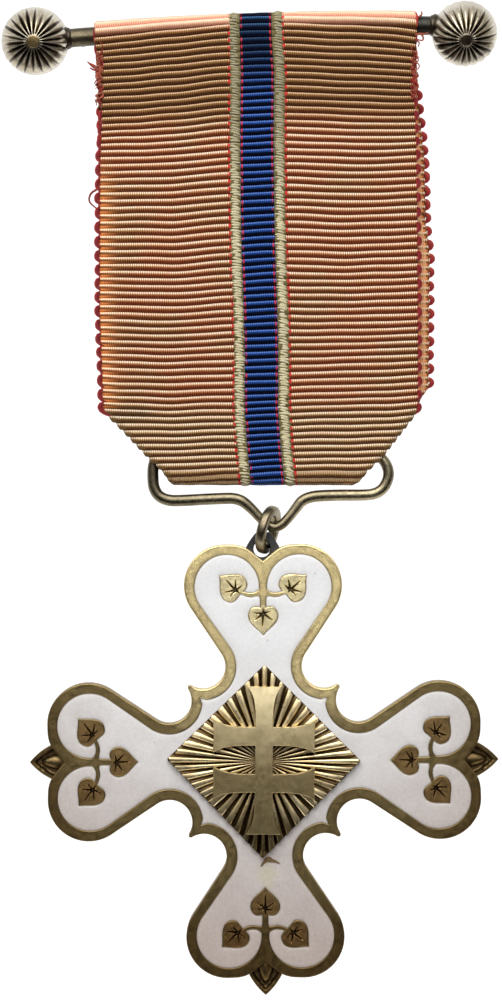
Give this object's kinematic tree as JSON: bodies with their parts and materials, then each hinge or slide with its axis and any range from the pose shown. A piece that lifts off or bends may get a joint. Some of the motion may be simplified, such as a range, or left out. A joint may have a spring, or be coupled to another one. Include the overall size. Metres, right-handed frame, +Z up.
{
  "type": "merit cross",
  "caption": "Enamelled four-armed cross medal on a jump ring and bent wire hanger, below a ribbed ribbon looped over a bent brass bar with fluted ball knobs and a plain brooch pin.",
  "frame": {"origin": "on the axis of the bar, halfway along the ribbon's width, where the brooch holds the medal", "axes": "+X along the bar to the viewer's right, -Y out of the front, +Z up"},
  "size_m": [0.0535, 0.0075, 0.107],
  "materials": {
    "dark_brass": "dark patina",
    "knob_brass": "worn silvery brass with dark flutes",
    "ribbon": "ribbed silk ribbon with blue and cream stripes",
    "cross_brass": "brushed, darker toward the lower arms",
    "white_enamel": "glossy white enamel",
    "ray_brass": "bright crests, dark valleys",
    "gilt_brass": "matt brushed gilt"
  },
  "bodies": {
    "bar_and_ribbon": {"bar": "dark_brass", "knob_left": "knob_brass", "knob_right": "knob_brass", "ribbon": "ribbon", "hanger": "dark_brass"},
    "ring": {"jump_ring": "dark_brass"},
    "cross": {"cross_body": "cross_brass", "enamel": "white_enamel", "plaque": "ray_brass", "double_cross": "gilt_brass"}
  },
  "joints": [
    {"name": "ring_swing", "type": "hinge", "parent": "bar_and_ribbon", "child": "ring", "pos_m": [0.00195, 0, -0.0534], "axis": [1, 0, 0], "range_deg": [-80, 80]},
    {"name": "cross_sway", "type": "hinge", "parent": "ring", "child": "cross", "pos_m": [0.0009, 0, -0.05624], "axis": [0, 1, 0], "range_deg": [-30, 30]}
  ]
}
